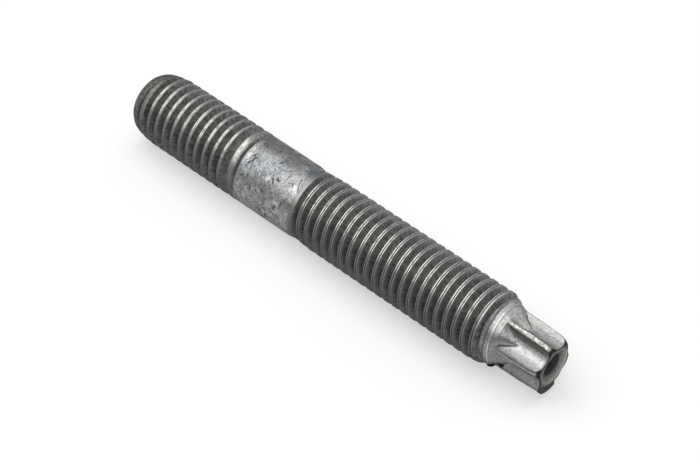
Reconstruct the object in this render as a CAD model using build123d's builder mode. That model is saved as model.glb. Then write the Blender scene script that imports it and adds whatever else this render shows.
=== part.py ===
"""A double-ended threaded stud, M10 x 1.5, with a plain shank and an external six-lobe drive end.

The stud is drawn upright along Z, from the face of its metal end to the face of its drive end. It is
then laid along X on the plane Z = 0, with the drive end at +X and the origin under its middle.
"""

from build123d import *
import os
from math import atan, degrees, radians, tan

# Driving dimensions, in millimetres and degrees. Heights are measured from the metal end's face.
major_radius = 5.0
pitch = 1.5
thread_depth = 0.92
flank_angle = 30.0
overall_length = 72.0

# Right-hand thread grooves: the height at which each groove's full depth starts, at angle 0, its
# whole turns at full depth, and the turns over which it fades out into the blank.
metal_groove_start = -0.871
metal_groove_turns = 12
nut_groove_start = 31.866
nut_groove_turns = 20
fading_turns = 2
groove_overreach = 0.3

# Metal end: its face, a steep chamfer, and a lead that grows to the full thread.
metal_face_radius = 3.9
chamfer_radius = 4.5
chamfer_height = 0.8
lead_height = 2.6

# Plain shank between the threads, and the shallow neck where the nut end's thread begins.
shank_radius = 4.95
shank_start = 20.3
shank_end = 29.0
neck_radius = 4.76
neck_height = 30.0
nut_lead_height = 33.2

# Beyond the nut end's thread the blank falls to a two-step cone.
nut_thread_end = 61.9
cone_start_radius = 4.55
cone_start = 63.2
cone_middle_radius = 3.95
cone_middle = 65.0
cone_end = 67.4

# Six-lobe drive, size 8: radius over the lobes, radius in the flutes, and the flutes' arc.
lobe_count = 6
lobe_root_radius = 3.88
lobe_radius = 3.74
lobe_taper_start = 67.5
lobe_taper_end = 70.6
flute_radius = 2.73
flute_arc = 2.42
lobe_angle = 12.3

# Domed drive face with a shallow conical dish and a small centre punch in it.
dome_shoulder_radius = 3.45
dome_shoulder = 71.6
drive_face_radius = 2.95
dish_radius = 2.35
dish_depth = 0.9
punch_radius = 1.0
punch_depth = 1.6


def cut_turn(height, depth, end_depth, direction=1):
    """Cut one turn of a V groove with 30 degree flanks, which starts at a height and angle 0.

    The groove climbs, or sinks if direction is -1, and its depth goes from depth to end_depth.
    """
    root_radius = major_radius - depth
    mouth_radius = major_radius + groove_overreach
    half_mouth = (mouth_radius - root_radius) * tan(radians(flank_angle))
    with BuildLine(mode=Mode.PRIVATE) as path:
        Helix(
            pitch=pitch,
            height=pitch,
            radius=root_radius,
            center=(0, 0, height),
            direction=(0, 0, direction),
            cone_angle=degrees(atan((depth - end_depth) / pitch)),
        )
    with BuildSketch(Plane.XZ, mode=Mode.PRIVATE) as section:
        with BuildLine():
            Polyline(
                (root_radius, height),
                (mouth_radius, height + half_mouth),
                (mouth_radius, height - half_mouth),
                close=True,
            )
        make_face()
    sweep(section.sketch, path=path.line, is_frenet=True, mode=Mode.SUBTRACT)


def cut_fade(height, direction):
    """Cut the turns over which a groove fades out from full depth, upwards or downwards."""
    for turn in range(fading_turns):
        depth, end_depth = (thread_depth * (1 - step / fading_turns) for step in (turn, turn + 1))
        cut_turn(height + direction * turn * pitch, depth, end_depth, direction)


with BuildPart() as upright:
    with BuildSketch(Plane.XZ) as blank_outline:
        with BuildLine():
            Polyline(
                (0, 0),
                (metal_face_radius, 0),
                (chamfer_radius, chamfer_height),
                (major_radius, lead_height),
                (major_radius, shank_start - pitch),
                (shank_radius, shank_start),
                (shank_radius, shank_end),
                (neck_radius, neck_height),
                (major_radius, nut_lead_height),
                (major_radius, nut_thread_end),
                (cone_start_radius, cone_start),
                (cone_middle_radius, cone_middle),
                (flute_radius, cone_end),
                (0, cone_end),
                close=True,
            )
        make_face()
    revolve(axis=Axis.Z)

    for turn in range(metal_groove_turns):
        cut_turn(metal_groove_start + turn * pitch, thread_depth, thread_depth)
    cut_fade(metal_groove_start + metal_groove_turns * pitch, 1)

    for turn in range(nut_groove_turns):
        cut_turn(nut_groove_start + turn * pitch, thread_depth, thread_depth)
    cut_fade(nut_groove_start + nut_groove_turns * pitch, 1)
    cut_fade(nut_groove_start, -1)

with BuildPart() as drive:
    with BuildSketch(Plane.XY.offset(cone_start)) as lobes:
        Circle(lobe_root_radius)
        with PolarLocations(flute_radius + flute_arc, lobe_count, start_angle=lobe_angle + 180 / lobe_count):
            Circle(flute_arc, mode=Mode.SUBTRACT)
    extrude(amount=overall_length - cone_start)
    with BuildSketch(Plane.XZ) as drive_outline:
        with BuildLine():
            Polyline(
                (0, overall_length - punch_depth),
                (0, cone_start),
                (lobe_root_radius, cone_start),
                (lobe_root_radius, lobe_taper_start),
                (lobe_radius, lobe_taper_end),
            )
            ThreePointArc(
                (lobe_radius, lobe_taper_end),
                (dome_shoulder_radius, dome_shoulder),
                (drive_face_radius, overall_length),
            )
            Polyline(
                (drive_face_radius, overall_length),
                (dish_radius, overall_length),
                (punch_radius, overall_length - dish_depth),
                (0, overall_length - punch_depth),
            )
        make_face()
    revolve(axis=Axis.Z, mode=Mode.INTERSECT)

with BuildPart() as stud:
    with Locations(Location((-overall_length / 2, 0, major_radius), (0, 90, 0))):
        add(upright.part)
        add(drive.part)

stud.part.label = "stud"
os.makedirs("parts", exist_ok=True)
export_step(stud.part, "parts/stud.step")
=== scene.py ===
"""A worn, zinc-flake coated M10 x 1.5 double-end stud, lying on a white sweep under soft light.

Heights are in millimetres along the stud from its metal end, and a turn angle is in degrees: 0 points
up, and it grows the way that the right-hand thread climbs towards the drive end.
"""
import math

import bmesh
import bpy
import numpy as np
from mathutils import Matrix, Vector


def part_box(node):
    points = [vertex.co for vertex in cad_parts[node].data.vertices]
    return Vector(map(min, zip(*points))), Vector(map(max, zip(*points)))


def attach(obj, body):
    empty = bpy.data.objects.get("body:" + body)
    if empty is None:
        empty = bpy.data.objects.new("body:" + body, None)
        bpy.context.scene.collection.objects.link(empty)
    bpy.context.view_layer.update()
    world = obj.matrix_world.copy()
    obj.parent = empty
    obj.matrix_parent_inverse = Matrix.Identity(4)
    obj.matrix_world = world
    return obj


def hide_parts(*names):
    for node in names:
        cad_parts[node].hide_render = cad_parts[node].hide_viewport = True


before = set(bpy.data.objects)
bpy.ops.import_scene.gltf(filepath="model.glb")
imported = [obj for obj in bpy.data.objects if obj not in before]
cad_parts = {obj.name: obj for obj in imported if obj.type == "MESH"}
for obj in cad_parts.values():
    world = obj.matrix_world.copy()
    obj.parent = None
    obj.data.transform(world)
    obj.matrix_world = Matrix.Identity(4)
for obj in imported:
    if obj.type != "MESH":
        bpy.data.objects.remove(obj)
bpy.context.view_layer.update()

low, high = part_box("stud")
MM = 0.001
LENGTH = (high.x - low.x) / MM
MAJOR_RADIUS = (high.z - low.z) / 2 / MM

# Thread: M10 x 1.5, rolled, right-handed at both ends. A crest line passes each height below at turn
# angle 0, and the others lie a whole number of pitches away.
PITCH = 1.5
THREAD_DEPTH = 0.86
FLANK_SLOPE = math.tan(math.radians(30))
ROOT_HALF_WIDTH = 0.04
METAL_CREST = 0.629
NUT_CREST = 0.366
# How much of its depth each end's groove has, as heights and shares.
METAL_FADE = ((1.0, 3.0, 17.9, 19.2, 19.6, 20.2), (0.45, 1, 1, 0.5, 0.5, 0))
NUT_FADE = ((30.0, 30.2, 30.4, 30.9), (0, 0.15, 0.5, 1))
# The turns of the mesh's rows, counted from the crest line above: the first one and how many.
METAL_TURNS = (1, 13)
NUT_TURNS = (18, 24)
# The first and last of the plain shank's rows, and how many.
SHANK_ROWS = (22.25, 25.6, 20)
# The crests are rubbed bright to this distance from their middle lines, and a seam runs along each.
METAL_RUBBED = 0.19
NUT_RUBBED = 0.26
METAL_SEAM_DEPTH = 0.04
NUT_SEAM_DEPTH = 0.09
SEAM_HALF_WIDTH = 0.055
# The metal end's last turn is drawn out along the stud, by a length that grows between two heights.
DRAWN_OUT = 0.6
RUN_OUT = (17.6, 19.2)
# Pairs of heights between which the finish changes: chamfer, first crests, shank and cone.
CHAMFER_END = (1.8, 3.0)
CRESTS_START = (1.6, 3.6)
SHANK_START = (20.1, 20.3)
SHANK_END = (30.1, 30.5)
THREAD_END = (62.9, 63.1)
# Turn angles: the side towards the floor is painted darker, as painted shade, and the crests' painted
# highlight fades there and, by half as much, on the far side.
UNDERSIDE = 115
FAR_SIDE = -65

# The blank's outline, as heights and radii: metal end chamfer, thread, shank, neck, thread, cone.
BLANK = np.array(
    (
        (0, 3.9),
        (0.25, 4.15),
        (0.8, 4.45),
        (1.6, 4.7),
        (2.6, 4.87),
        (3.6, 5.0),
        (18.8, 5.0),
        (20.3, 4.95),
        (28.9, 4.95),
        (30.0, 4.76),
        (33.2, 5.0),
        (61.9, 5.0),
        (63.2, 4.56),
        (63.4, 4.38),
        (63.55, 4.33),
        (63.95, 4.2),
        (64.02, 4.22),
        (64.3, 4.1),
        (65.0, 3.9),
        (67.4, 2.73),
    )
)
# As the threads were rolled, the neck and the lips on the cone came to lean: each lies further along on
# one side of the stud than on the other. A lean grows between its first two heights and fades between
# the next two, and then come its reach and the turn angle that its sine starts at.
NECK_LEAN = (26, 28, 31.5, 33.5, 0.9, 36)
LIP_LEAN = (62.2, 63.0, 64.5, 65.5, 0.45, 26)
# The collar past the thread: a dark step, a bright lip and a second, fainter step, and the rows over them.
COLLAR_STEP = 63.42
LIP = 64.02
SECOND_STEP = 64.2
COLLAR_ROWS = (63.35, COLLAR_STEP, 63.5, 63.6, 63.75, 63.88, 63.95)
COLLAR_ROWS += (64.0, 64.06, 64.15, 64.27, 64.34, 64.42, 64.5)

# Six-lobe drive, size 8. One lobe kept a sharp corner at the end, and the others are rounded over.
LOBE_COUNT = 6
LOBE_STEP = 360 / LOBE_COUNT
LOBE_ANGLE = 12.3
LOBE_HEIGHTS = (63.2, 67.5, 70.6, 71.2, 71.6, 71.85, LENGTH)
LOBE_RADII = (3.88, 3.88, 3.74, 3.62, 3.42, 3.2, 2.95)
SHARP_CORNER = LOBE_ANGLE + 128
SHARP_REACH = 1.3
FLUTE_ARC = 2.42
FLUTE_CENTRE = 5.15
CONE_START = 64.9
# The feet of the flutes: the heights of their points and of their middles, the angle from the middle to
# a point, and how hollow the edge between them is. The mesh's rows are even again from the shoulder on.
RIDGES_START = 65.05
FLUTES_WHOLE = 67.55
FOOT_REACH = 26.6
FOOT_POWER = 1.45
SHOULDER = 68.2
# The end face is low on one side, by a drop, and a burr fills the end of the flute beside the sharp lobe.
FACE_DROP = 0.32
LOW_SIDE = 235
BURR_ANGLE = LOBE_ANGLE + 150
BURR_START = 71.3
BURR_RADII = ((130, 145, 158, 190, 197), (3.8, 3.95, 3.9, 3.6, 3.3))
# The dish in the end face and the punch mark in its middle, as radii and depths.
DISH_EDGE = 2.45
DISH = ((0, 1.0, 2.25, DISH_EDGE), (1.6, 0.92, 0.12, 0))
# Scraps of torn thread on the cone, as heights, turn angles and how far each stands up.
TORN = ((64.75, 118, 0.42), (65.8, 120, 0.22))
# Stains on the cone, as heights, turn angles, half lengths and half widths in degrees.
STAINS = ((66.15, 43, 0.4, 6), (64.6, 35, 0.16, 2.5))

# The marks that the finish and its painted shade and light follow. Each is 0 to 1 at every point of the mesh.
MARKS = ("rolled", "flank", "root", "crest", "seam", "underside_shade", "drive", "lip", "step", "torn", "ridge", "edge")
MARKS += ("wall_shade", "lit_flute_floor", "brow", "end", "rim", "recess_shade", "burr", "stain")


def columns():
    """Turn angles of the mesh's lines along the stud: closer together beside each ridge of the drive."""
    near = np.array((1.6, 2.9, 3.5, 4.3, 5.0, 5.8, 6.8, 9.0, 13.0, 18.5, 24.5))
    from_ridge = np.concatenate([-near[::-1], [0], near])
    first = LOBE_ANGLE - 180 - LOBE_STEP / 2
    sector = np.concatenate([[0], LOBE_STEP / 2 + from_ridge])
    return np.concatenate([first + LOBE_STEP * i + sector for i in range(LOBE_COUNT)] + [[first + 360]])


ANGLES = columns()
TURN = (ANGLES - ANGLES[0]) / 360


def ramp(value, start, end):
    """0 up to a start, 1 from an end, and a straight rise between them."""
    return np.clip((value - start) / (end - start), 0, 1)


def bump(distance, half_width, power=2):
    """1 at no distance, e to the minus one at a half width, and squarer with a higher even power."""
    return np.exp(-((distance / half_width) ** power))


def facing(angle):
    """How far each column faces an angle round the stud: 1 within 32 degrees of it, 0 from 76 on."""
    return ramp(np.cos(np.radians(ANGLES - angle)), 0.25, 0.85)


def face_drop():
    """How much lower the end face is at each turn angle: a rounded rise and fall about its low side."""
    return FACE_DROP * (0.5 + 0.5 * np.cos(np.radians(ANGLES - LOW_SIDE))) ** 1.5


def blank_radius(height):
    """The blank's radius: its outline, slid along the stud where it leans, by the reach times a sine."""
    slide = 0
    for rise_start, rise_end, fall_start, fall_end, reach, turn in (NECK_LEAN, LIP_LEAN):
        near = ramp(height, rise_start, rise_end) * (1 - ramp(height, fall_start, fall_end))
        slide = slide + reach * np.sin(np.radians(ANGLES - turn)) * near
    return np.interp(height - slide, *BLANK.T)


def smooth_least(a, b, width):
    """The lesser of two arrays, with the corner between them rounded over a width."""
    mix = np.clip(0.5 + 0.5 * (b - a) / width, 0, 1)
    return b + (a - b) * mix - width * mix * (1 - mix)


def from_crest(height, crest):
    """The distance along the stud to the nearest crest line: the turns to it, less whole ones, as pitch."""
    turns = (height - crest) / PITCH - ANGLES / 360
    return (turns - np.round(turns)) * PITCH


def thread_radius(blank, offset, root, seam_depth):
    """The radius of a threaded length: the blank, cut by a V groove midway between its crest lines.

    The groove's radius is its root's, plus the distance from the root over the flank's slope. A crest
    has a fine seam, where the rolled metal closes.
    """
    groove = root + np.maximum(PITCH / 2 - np.abs(offset) - ROOT_HALF_WIDTH, 0) / FLANK_SLOPE
    lap = seam_depth * bump(offset, SEAM_HALF_WIDTH) * ramp(blank - root, 0, 0.6)
    return smooth_least(blank - lap, groove, 0.05)


def groove_rows(crest, fade, first_turn, turns):
    """Heights of the mesh's rows over a threaded length, following its helix, turn by turn.

    Each turn has rows at the groove's root, up both flanks, on both edges of the mouth where it
    meets the blank, and across the crest. A mouth's edge lies as far from the root as the flank's slope
    takes to climb the depth there, which is found in four passes.
    """
    beside_mouth, beside_crest, least_half_mouth = 0.045, 0.06, 0.12
    turn = np.arange(first_turn, first_turn + turns)[:, None] + np.zeros(len(ANGLES))
    below = crest + PITCH * (turn - 0.5 + ANGLES / 360)
    above = below + PITCH
    mouth = []
    for centre, way in ((below, 1), (above, -1)):
        edge = centre
        for _ in range(4):
            depth = blank_radius(edge) - MAJOR_RADIUS + THREAD_DEPTH * np.interp(centre, *fade)
            edge = centre + way * np.maximum(depth * FLANK_SLOPE + ROOT_HALF_WIDTH, least_half_mouth)
        mouth.append(edge)
    rise, fall = mouth
    rows = [below, below + 0.5 * (rise - below)]
    for line, gap in ((rise, beside_mouth), ((rise + fall) / 2, beside_crest), (fall, beside_mouth)):
        rows += [line - gap, line, line + gap]
    rows.append(above - 0.5 * (above - fall))
    return np.stack(rows, axis=1).reshape(-1, len(ANGLES))


def threaded_rows(crest, fade, first_turn, turns):
    """Row heights of a threaded length between two plain rings.

    The helical rows rise by one pitch round the stud, so a wedge of rows, closed at one end and a
    pitch wide at the other, fills each gap between them and the ring beside it.
    """
    spiral = groove_rows(crest, fade, first_turn, turns)
    count = len(spiral) // turns
    start = spiral[0, 0]
    end = spiral[-1, -1]
    opening = start + TURN * (spiral[:count, :1] - start)
    closing = end + (1 - TURN) * (spiral[-count:, -1:] - end)
    return np.concatenate([opening, spiral, closing])


def thread(crest, fade, first_turn, turns, seam_depth, rubbed, drawn_out=0):
    """Heights, radii and marks of a threaded length: its groove's depth, its crests and their seams.

    The crests are rubbed bright to a distance from their middle lines, and the last turn can be drawn
    out along the stud by a length.
    """
    rows = threaded_rows(crest, fade, first_turn, turns)
    placed = rows + drawn_out * ramp(rows, *RUN_OUT)
    blank = blank_radius(placed)
    offset = from_crest(rows, crest)
    root = MAJOR_RADIUS - THREAD_DEPTH * np.interp(rows, *fade)
    radii = thread_radius(blank, offset, root, seam_depth)
    groove = np.maximum(blank - radii, 0)
    flank = np.maximum(ramp(groove, 0.03, 0.16), ramp(np.abs(offset), rubbed - 0.04, rubbed + 0.06))
    cut = ramp(blank - root, 0.1, 0.6) * ramp(placed, *CRESTS_START)
    shank = ramp(placed, *SHANK_START) * (1 - ramp(placed, *SHANK_END))
    rolled = 1 - shank - ramp(placed, *THREAD_END)
    chamfer = 1 - ramp(placed, *CHAMFER_END)
    # The crests' brightness is partly real rubbing and partly painted highlight, which fades on the side
    # towards the floor and, by half as much, on the far side.
    worn = 1 - 0.9 * facing(UNDERSIDE) - 0.45 * facing(FAR_SIDE)
    marks = {
        "rolled": rolled,
        "flank": rolled * np.maximum(flank, chamfer),
        "root": rolled * ramp(groove, 0.4, 0.8),
        "crest": cut * bump(groove, 0.05) * bump(offset, rubbed, 4) * worn,
        # Painted shade: darker on the side towards the floor, and darker by half on the metal end's chamfer.
        "underside_shade": rolled * np.maximum(facing(UNDERSIDE), 0.5 * chamfer),
        "seam": cut * bump(offset, 0.065) * ramp(seam_depth, 0, NUT_SEAM_DEPTH),
    }
    return placed, radii, marks


def torn(height):
    """How far the scraps of torn thread stand up: a blunt bump for each, about a millimetre long."""
    lift = 0
    for middle, turn, size in TORN:
        lift = lift + size * bump(height - middle, 0.42, 4) * bump(ANGLES - turn, 8, 4)
    return lift


def cone_marks(height, lift):
    """The marks of what lies on the cone: torn scraps where it is lifted, and a round spot for each stain."""
    spots = 0
    for middle, turn, length, width in STAINS:
        spots = spots + bump(height - middle, length) * bump(ANGLES - turn, width)
    return {"drive": 1, "torn": ramp(lift, 0.04, 0.15), "stain": spots}


def collar(thread_end):
    """Heights, radii and marks of the collar past the thread: rings that lean as its bright lip does.

    Where a leaning ring would lie below the thread's end, it is held a little above it.
    """
    reach, turn = LIP_LEAN[4:]
    lean = reach * np.sin(np.radians(ANGLES - turn))
    levels = np.array(COLLAR_ROWS)[:, None]
    held = thread_end + 0.04 + 0.02 * np.arange(len(levels))[:, None]
    rings = np.maximum(levels + lean, held)
    to_cone = rings[-1] + (CONE_START - 0.03 - rings[-1]) * np.array((0.4, 0.7, 1.0))[:, None]
    rows = np.concatenate([rings, to_cone])
    height = rows - lean
    lift = torn(rows)
    marks = cone_marks(rows, lift) | {
        # Painted shade, at half strength: darker on the side towards the floor.
        "underside_shade": 0.5 * facing(UNDERSIDE),
        # The lip is painted bright, as a painted highlight, and the steps dark, as painted shade.
        "lip": bump(height - LIP, 0.06),
        "step": bump(height - COLLAR_STEP, 0.08) + 0.6 * bump(height - SECOND_STEP, 0.06),
    }
    return rows, blank_radius(rows) + lift, marks


def flute_radius(from_flute):
    """The distance from the axis to a flute's arc, at an angle from the flute's middle, in degrees.

    It is the distance to the arc's centre along that direction, less half the chord that it cuts there.
    """
    across = FLUTE_CENTRE * np.sin(np.radians(from_flute))
    inside = np.maximum(FLUTE_ARC**2 - across**2, 0)
    return FLUTE_CENTRE * np.cos(np.radians(from_flute)) - np.sqrt(inside)


def foot_line(from_flute):
    """The height where the cone meets the flutes: highest in a flute's middle, lowest by its ridges.

    It falls by a power of the angle from the middle, which leaves a point on both sides of a ridge.
    """
    return FLUTES_WHOLE - (FLUTES_WHOLE - RIDGES_START) * ramp(from_flute, 0, FOOT_REACH) ** FOOT_POWER


def brow_line(flute, reach, end):
    """The height where the flutes meet the lobes' rounded end: where its outline falls to their radius."""
    fine = np.linspace(LOBE_HEIGHTS[2], LENGTH, 400)
    outline = np.interp(fine, LOBE_HEIGHTS, LOBE_RADII)
    widest = LOBE_RADII[2] - 0.01
    brow = np.interp(-np.clip(flute, LOBE_RADII[-1], widest), -outline, fine)
    return np.minimum(brow + reach, end - 0.05)


def drive():
    """Heights, radii and marks from the cone to the end face's edge: its ridges, brow, burr and scraps.

    One row runs along the foot and one along the brow. Down to the foot the radius falls evenly with
    height, from the collar's to the flute's. Past it, it is the lesser of the flute's and the lobes'.
    """
    from_ridge = (ANGLES - LOBE_ANGLE + LOBE_STEP / 2) % LOBE_STEP - LOBE_STEP / 2
    from_flute = LOBE_STEP / 2 - np.abs(from_ridge)
    flute = flute_radius(from_flute)
    end = LENGTH - face_drop()
    reach = SHARP_REACH * bump(ANGLES - SHARP_CORNER, 22, 4) - face_drop()
    filled = bump(ANGLES - BURR_ANGLE, 26, 6) + bump(ANGLES + 360 - BURR_ANGLE, 26, 6)
    start = np.full_like(flute, CONE_START)
    foot = foot_line(from_flute)
    shoulder = np.full_like(flute, SHOULDER)
    brow = brow_line(flute, reach, end) * (1 - filled) + BURR_START * filled
    parts = ((start, foot, 14), (foot, shoulder, 14), (shoulder, brow, 20), (brow, end, 8))
    rows = [a + (b - a) * t for a, b, count in parts for t in np.linspace(0, 1, count, endpoint=False)]
    rows = np.array(rows + [end])
    burr = np.interp(ANGLES % 360, *BURR_RADII) * (filled > 0.5) * ramp(rows, BURR_START - 0.25, BURR_START)
    lobed = np.maximum(np.minimum(flute, np.interp(rows - reach, LOBE_HEIGHTS, LOBE_RADII)), burr)
    collar_radius = blank_radius(start)
    cone = collar_radius + (np.minimum(flute, LOBE_RADII[0]) - collar_radius) * ramp(rows, CONE_START, foot)
    lift = torn(rows)
    radii = np.where(rows <= foot, cone, lobed) + lift * (rows < FLUTES_WHOLE)
    marks = cone_marks(rows, lift) | drive_marks(rows, from_ridge, foot, brow, end, filled)
    return rows, radii, marks


def drive_marks(rows, from_ridge, foot, brow, end, filled):
    """The marks of the drive's wear: each is a bump or a ramp across a ridge or along the stud.

    A socket has polished the lobe that faces up: its ridge is bright with a dark edge on both sides.
    The wall beside it is painted dark, as painted shade, and the floors of the flutes past it are painted
    pale, as painted light. The other ridges are dark on one side. The brow is painted black.
    """
    last = end - 0.25
    before_end = np.maximum(brow, last)
    past_foot = ramp(rows, 65.0, 65.4) * (1 - ramp(rows, last - 0.1, last))
    aside = np.abs(from_ridge - 0.7)
    polished = bump(ANGLES - LOBE_ANGLE, 28, 4)
    # The flute floors beside the polished lobe are painted pale, as painted light.
    lit_flutes = bump(ANGLES - LOBE_ANGLE - 3, 54, 8)
    # The wall beside the polished ridge gets painted shade.
    shaded_wall = ramp(from_ridge, 4.3, 5.8) * (1 - ramp(from_ridge, 16.0, 17.8)) * polished
    edges = polished * bump(aside - 5.0, 0.8) + (1 - polished) * bump(from_ridge + 2.6, 1.5)
    return {
        # Painted shade: darker on the side towards the floor.
        "underside_shade": 0.75 * facing(UNDERSIDE),
        "ridge": (0.12 + 0.88 * polished) * (1 - ramp(aside, 3.9, 4.6)) * past_foot,
        "edge": edges * past_foot,
        "wall_shade": shaded_wall * past_foot * ramp(rows, foot, foot + 0.6),
        "lit_flute_floor": lit_flutes * ramp(aside, 15.5, 17.5) * ramp(rows, foot + 0.02, foot + 0.12),
        "brow": bump(rows - before_end - 0.04, 0.22, 4) * (1 - filled),
        "end": ramp(rows, before_end + 0.05, before_end + 0.2),
        "burr": filled * ramp(rows, BURR_START - 0.1, BURR_START),
    }


def end_face(rim):
    """Heights, radii and marks of the end face inside a rim: a dish with a deeper punch mark in it.

    The rings shrink evenly from the rim to the middle, and each lies as deep as the dish at its radius.
    """
    radii = rim * np.linspace(1, 0, 24)[1:, None]
    heights = LENGTH - face_drop() * ramp(radii, 0.8, 2.4) - np.interp(radii, *DISH)
    marks = {
        "drive": 1,
        "end": ramp(radii, 1.6, 2.5),
        "rim": bump(radii - DISH_EDGE, 0.12) * (0.6 + 0.4 * np.cos(np.radians(ANGLES - LOW_SIDE))),
        # The dish's deep middle is painted dark, as painted shade.
        "recess_shade": 1 - ramp(radii, 1.4, 2.3),
        # Beside the burr, the face outside radius 2.7 is painted darker, as painted shade on its chamfer.
        "burr": ramp(radii, 2.7, 3.0) * ramp(rim, 3.2, 3.5),
    }
    return heights, radii, marks


def stud_grid():
    """The whole stud as one closed grid, of rows along its outline and columns round its axis.

    It gives each point's height and radius, and the marks that its finish follows. The shank's rows
    start and end clear of the leaning rows beside them.
    """
    none = np.zeros(len(ANGLES))
    face_radii = BLANK[0, 1] * np.linspace(0, 1, 8)[:, None] + none
    shank = np.linspace(*SHANK_ROWS)[:, None] + none
    nut = thread(NUT_CREST, NUT_FADE, *NUT_TURNS, NUT_SEAM_DEPTH, NUT_RUBBED)
    flutes = drive()
    blocks = (
        (0 * face_radii, face_radii, {"rolled": 0.5}),
        thread(METAL_CREST, METAL_FADE, *METAL_TURNS, METAL_SEAM_DEPTH, METAL_RUBBED, DRAWN_OUT),
        (shank, blank_radius(shank), {}),
        nut,
        collar(nut[0][-1, 0]),
        flutes,
        end_face(flutes[1][-1]),
    )
    heights, radii = (np.concatenate([block[part] for block in blocks]) for part in (0, 1))
    marks = {}
    for name in MARKS:
        values = [np.broadcast_to(block[2].get(name, 0), block[0].shape) for block in blocks]
        marks[name] = np.clip(np.concatenate(values), 0, 1)
    marks["shank"] = np.clip(1 - marks["rolled"] - marks["drive"], 0, 1)
    return heights, radii, marks


def to_mesh(name, heights, radii, marks):
    """A closed mesh from a grid of heights and radii, with its marks and a map that follows the thread.

    A point lies at its height along the stud, and its radius times the sine and cosine of its turn
    angle from the axis. The map's u is the way round at the major radius and its v the height less the
    helix's climb, in millimetres, so that a line of equal v winds along the thread.
    """
    angle = np.radians(ANGLES)
    x = low.x + heights * MM
    y = -radii * MM * np.sin(angle)
    z = (low.z + high.z) / 2 + radii * MM * np.cos(angle)
    points = np.stack([x, y, z], axis=2).reshape(-1, 3)
    rows, cols = heights.shape
    index = np.arange(rows * cols).reshape(rows, cols)
    faces = np.stack([index[:-1, :-1], index[1:, :-1], index[1:, 1:], index[:-1, 1:]], axis=2)
    mesh = bpy.data.meshes.new(name)
    mesh.from_pydata(points, [], faces.reshape(-1, 4))
    for key, values in marks.items():
        attribute = mesh.attributes.new(key, "FLOAT", "POINT")
        attribute.data.foreach_set("value", values.astype(np.float32).ravel())
    wound = [MAJOR_RADIUS * angle + 0 * heights, heights - PITCH * ANGLES / 360]
    wound = np.stack(wound, axis=2).reshape(-1, 2).astype(np.float32)
    corner = np.empty(len(mesh.loops), np.int32)
    mesh.loops.foreach_get("vertex_index", corner)
    mesh.uv_layers.new(name="along_thread").data.foreach_set("uv", wound[corner].ravel())
    built = bmesh.new()
    built.from_mesh(mesh)
    bmesh.ops.remove_doubles(built, verts=built.verts, dist=2e-7)
    bmesh.ops.dissolve_degenerate(built, edges=built.edges, dist=1e-8)
    bmesh.ops.recalc_face_normals(built, faces=built.faces)
    built.to_mesh(mesh)
    built.free()
    mesh.polygons.foreach_set("use_smooth", np.ones(len(mesh.polygons), bool))
    mesh.set_sharp_from_angle(angle=math.radians(38))
    return bpy.data.objects.new(name, mesh)


def linear(hex_colour):
    """An sRGB hex colour as linear RGBA."""
    value = np.array([int(hex_colour[i : i + 2], 16) for i in (1, 3, 5)]) / 255
    value = np.where(value <= 0.04045, value / 12.92, ((value + 0.055) / 1.055) ** 2.4)
    return (*value, 1)


def node(tree, kind, sockets, **settings):
    """Add a node with its settings, and give each named socket a value or a link."""
    made = tree.nodes.new(kind)
    for key, value in settings.items():
        setattr(made, key, value)
    for socket, value in sockets.items():
        if isinstance(value, bpy.types.NodeSocket):
            tree.links.new(value, made.inputs[socket])
        else:
            made.inputs[socket].default_value = value
    return made


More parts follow.
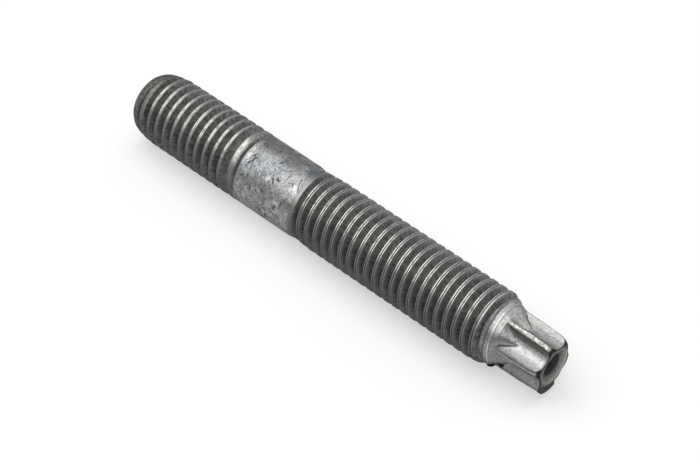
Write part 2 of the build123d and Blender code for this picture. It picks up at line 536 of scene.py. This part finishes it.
def zinc_flake(marks):
    """Zinc-flake coat on rolled steel: a dull silver-grey film of flakes, mottled where it pooled.

    The thread's crests and the drive's ridges are rubbed bright, and the crests carry painted highlight
    that fades away from the light. Dirt lies in patches on the flanks, the roots are painted lighter
    against the shade that falls in them, the side towards the floor is painted darker as painted shade,
    and the plain shank is specked and scuffed.
    """
    coat = bpy.data.materials.new("zinc_flake_worn")
    coat.use_nodes = True
    tree = coat.node_tree
    shader = tree.nodes["Principled BSDF"]
    place = node(tree, "ShaderNodeTexCoord", {}).outputs["Object"]
    wound = node(tree, "ShaderNodeUVMap", {}, uv_map="along_thread").outputs["UV"]
    mark = {
        key: node(tree, "ShaderNodeAttribute", {}, attribute_name=key).outputs["Fac"]
        for key in marks
    }

    def pattern(where, size, detail, low_edge, high_edge, stretch=(1, 1, 1), weave="FBM"):
        """A noise with features of a size, squeezed along its axes, cut to 0 to 1 between two levels."""
        laid = node(tree, "ShaderNodeMapping", {"Vector": where, "Scale": stretch})
        noise = node(
            tree,
            "ShaderNodeTexNoise",
            {"Vector": laid.outputs[0], "Scale": 1 / size, "Detail": detail, "Roughness": 0.6},
            noise_type=weave,
        )
        cut = {"Value": noise.outputs[0], "From Min": low_edge, "From Max": high_edge}
        return node(tree, "ShaderNodeMapRange", cut, interpolation_type="SMOOTHSTEP").outputs[0]

    # Flakes pool in patches a few millimetres wide, with a finer mottle inside them. A single flake is
    # about 0.02 mm wide, too fine to show, so dark clots and bright sparks of them are 0.2 mm wide.
    pools = pattern(place, 2.4 * MM, 5, 0.46, 0.60)
    mottle = pattern(place, 0.8 * MM, 6, 0.42, 0.58)
    clots = pattern(place, 0.20 * MM, 3, 0.52, 0.64, stretch=(1, 0.55, 0.55))
    sparks = pattern(place, 0.17 * MM, 3, 0.54, 0.66, stretch=(1, 0.6, 0.6))
    # Creases run round the stud, where the coat crept over the drawn bar, and break every 1.5 mm or so.
    creases = pattern(place, 0.9 * MM, 2, 0.016, 0.0, stretch=(1, 0.5, 0.5), weave="RIDGED_MULTIFRACTAL")
    broken = pattern(place, 1.5 * MM, 3, 0.52, 0.60)
    creases = node(tree, "ShaderNodeMath", {0: creases, 1: broken}, operation="MULTIPLY").outputs[0]
    # Handling has scuffed the high spots of the shank, in patches 1.6 mm wide.
    worn = pattern(place, 1.6 * MM, 4, 0.54, 0.66)
    # Rolling draws lines along the thread, 0.24 mm wide, and dirt lies between them in 0.5 mm patches.
    drawn = pattern(wound, 0.24, 3, 0.44, 0.60, stretch=(0.3, 1, 1))
    dirt = pattern(wound, 0.5, 6, 0.47, 0.57, stretch=(1, 0.6, 1))
    # Nicks break the rubbed crests every millimetre or so.
    nicks = pattern(wound, 0.5, 3, 0.50, 0.60, stretch=(0.6, 1, 1))
    # Specks of dirt, up to 0.4 mm wide, gather in clusters, and the ridges are rubbed in spots as wide.
    specks = pattern(place, 0.40 * MM, 4, 0.60, 0.67)
    rubbed = pattern(place, 0.33 * MM, 4, 0.44, 0.56)
    # Each layer lies over those above it: its mark, its pattern, its share, its colour, its roughness.
    layers = (
        (mark["shank"], pools, 0.65, "#5f6266", 0.46),
        (mark["shank"], mottle, 0.5, "#a3a4a4", 0.36),
        (mark["shank"], worn, 0.6, "#c9c9c7", 0.32),
        (mark["shank"], clots, 0.55, "#4b4d50", 0.50),
        (mark["shank"], sparks, 0.55, "#d0d2d2", 0.34),
        (mark["shank"], creases, 0.75, "#2b2c2e", 0.55),
        (mark["shank"], specks, 0.8, "#1d1d1d", 0.60),
        (mark["drive"], 1.0, 0.75, "#aaaaa8", 0.30),
        # Painted light on the flute floors beside the polished lobe.
        (mark["lit_flute_floor"], 1.0, 0.75, "#cfd0d1", 0.38),
        (mark["drive"], mottle, 0.25, "#7b7b79", 0.34),
        (mark["drive"], clots, 0.4, "#5c5c5a", 0.40),
        (mark["drive"], sparks, 0.5, "#dadad8", 0.30),
        (mark["drive"], specks, 0.6, "#333230", 0.60),
        (mark["rolled"], 1.0, 0.9, "#838483", 0.44),
        (mark["flank"], 1.0, 0.8, "#757471", 0.55),
        # The roots are painted lighter, to offset the shade that falls in them.
        (mark["root"], 1.0, 0.7, "#a3a29e", 0.50),
        (mark["flank"], drawn, 0.5, "#a2a2a0", 0.50),
        (mark["flank"], dirt, 0.5, "#454542", 0.58),
        # The crests are rubbed bright, and their brightness is partly painted highlight that fades away from
        # the light.
        (mark["crest"], 1.0, 0.9, "#d6d6d4", 0.26),
        # Painted shade: the side towards the floor is darker.
        (mark["underside_shade"], 1.0, 0.52, "#3c3d3c", 0.50),
        (mark["crest"], nicks, 0.7, "#4a4a48", 0.55),
        (mark["seam"], 1.0, 0.9, "#2b2b2a", 0.60),
        (mark["stain"], clots, 0.9, "#252524", 0.55),
        # Painted highlight on the lip and painted shade on the steps.
        (mark["lip"], 1.0, 0.85, "#d4d4d2", 0.30),
        (mark["step"], 1.0, 0.85, "#343433", 0.55),
        # Painted shade on the flute wall beside the polished ridge.
        (mark["wall_shade"], 1.0, 0.8, "#3c3c3a", 0.42),
        (mark["edge"], 1.0, 0.85, "#222220", 0.60),
        (mark["ridge"], 1.0, 0.85, "#84807a", 0.40),
        (mark["ridge"], rubbed, 0.75, "#cfcdc9", 0.32),
        (mark["end"], 1.0, 0.75, "#5f605c", 0.42),
        (mark["rim"], 1.0, 0.7, "#bdbdb8", 0.34),
        # Painted shade in the dish.
        (mark["recess_shade"], 1.0, 0.93, "#161615", 0.50),
        # The burr is darker, and the end face's band beside it is painted darker as painted shade.
        (mark["burr"], 1.0, 0.85, "#424340", 0.45),
        (mark["brow"], 1.0, 0.95, "#121211", 0.60),
        # The torn scraps are real, and painted black as painted shade on the cone's underside.
        (mark["torn"], 1.0, 1.0, "#0d0d0d", 0.70),
    )
    colour = linear("#8a8b8c")
    roughness = 0.42
    for where, shape, share, tone, grain in layers:
        mask = node(tree, "ShaderNodeMath", {0: where, 1: shape}, operation="MULTIPLY").outputs[0]
        mask = node(tree, "ShaderNodeMath", {0: mask, 1: share}, operation="MULTIPLY").outputs[0]
        sockets = {"Factor": mask, 6: colour, 7: linear(tone)}
        colour = node(tree, "ShaderNodeMix", sockets, data_type="RGBA").outputs[2]
        roughness = node(tree, "ShaderNodeMix", {"Factor": mask, 2: roughness, 3: grain}).outputs[0]
    tree.links.new(colour, shader.inputs["Base Color"])
    tree.links.new(roughness, shader.inputs["Roughness"])
    shader.inputs["Metallic"].default_value = 0.92
    shader.inputs["Specular Tint"].default_value = linear("#b0b0b0")
    # The film's grain is drawn 0.22 mm wide and 0.03 mm high: coarser than it is, so that it shows.
    film = node(tree, "ShaderNodeTexNoise", {"Vector": place, "Scale": 1 / (0.22 * MM), "Detail": 3})
    relief = node(
        tree,
        "ShaderNodeBump",
        {"Height": film.outputs[0], "Strength": 0.35, "Distance": 0.03 * MM},
    )
    tree.links.new(relief.outputs[0], shader.inputs["Normal"])
    return coat


def white_sweep():
    """Matt white paper, which spreads light evenly and shows the stud's shadow.

    What the camera or a reflection sees of it is partly its own white.
    """
    own_white = 0.47
    paper = bpy.data.materials.new("white_sweep")
    paper.use_nodes = True
    tree = paper.node_tree
    shader = tree.nodes["Principled BSDF"]
    shader.inputs["Base Color"].default_value = linear("#eaeaea")
    shader.inputs["Roughness"].default_value = 0.9
    white = node(tree, "ShaderNodeEmission", {"Color": (1, 1, 1, 1), "Strength": 1.0})
    path = node(tree, "ShaderNodeLightPath", {}).outputs
    seen = path["Is Camera Ray"]
    for ray in ("Is Glossy Ray", "Is Transmission Ray"):
        seen = node(tree, "ShaderNodeMath", {0: seen, 1: path[ray]}, operation="MAXIMUM").outputs[0]
    share = node(tree, "ShaderNodeMath", {0: seen, 1: own_white}, operation="MULTIPLY").outputs[0]
    both = node(tree, "ShaderNodeMixShader", {0: share, 1: shader.outputs[0], 2: white.outputs[0]})
    tree.links.new(both.outputs[0], tree.nodes["Material Output"].inputs["Surface"])
    return paper


def hang_light(name, width, depth, energy, colour, place):
    """Hang a rectangular area light at a place. It shines straight down until it is turned."""
    light = bpy.data.lights.new(name, "AREA")
    light.shape = "RECTANGLE"
    light.size = width
    light.size_y = depth
    light.energy = energy
    light.color = colour
    stand = bpy.data.objects.new(name, light)
    stand.location = place
    bpy.context.scene.collection.objects.link(stand)
    return stand


heights, radii, marks = stud_grid()
stud = to_mesh("threaded_stud", heights, radii, marks)
bpy.context.scene.collection.objects.link(stud)
stud.data.materials.append(zinc_flake(marks))
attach(stud, "root")
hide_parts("stud")

scene = bpy.context.scene
scene.view_settings.view_transform = "Standard"

floor_reach = 2.0
corners = [(x * floor_reach, y * floor_reach, 0) for x, y in ((-1, -1), (1, -1), (1, 1), (-1, 1))]
floor_mesh = bpy.data.meshes.new("floor")
floor_mesh.from_pydata(corners, [], [(0, 1, 2, 3)])
floor_mesh.materials.append(white_sweep())
floor = bpy.data.objects.new("floor", floor_mesh)
scene.collection.objects.link(floor)

world = bpy.data.worlds.new("studio")
scene.world = world
world.use_nodes = True
world.node_tree.nodes["Background"].inputs["Color"].default_value = (0.30, 0.30, 0.30, 1)

softbox = hang_light("softbox", 1.5, 1.2, 10.5, (1, 1, 1), (-0.20, -0.17, 0.72))
softbox.rotation_euler = (math.radians(13.5), math.radians(-15.5), 0)
back_light = hang_light("back_light", 0.9, 0.9, 2.3, (0.96, 0.98, 1.0), (0.15, 0.60, 0.45))
back_light.rotation_euler = (-back_light.location).to_track_quat("-Z", "Y").to_euler()

camera_data = bpy.data.cameras.new("camera")
camera_data.lens = 127.26
camera_data.sensor_width = 36
camera_data.clip_start = 0.01
camera = bpy.data.objects.new("camera", camera_data)
aim = Vector((1.46, -0.36, 5.0)) * MM
distance = 322.19 * MM
azimuth, elevation = math.radians(43.405), math.radians(44.746)
level = math.cos(elevation)
direction = Vector((level * math.sin(azimuth), -level * math.cos(azimuth), math.sin(elevation)))
camera.location = aim + direction * distance
camera.rotation_euler = (-direction).to_track_quat("-Z", "Y").to_euler()
scene.collection.objects.link(camera)
scene.camera = camera
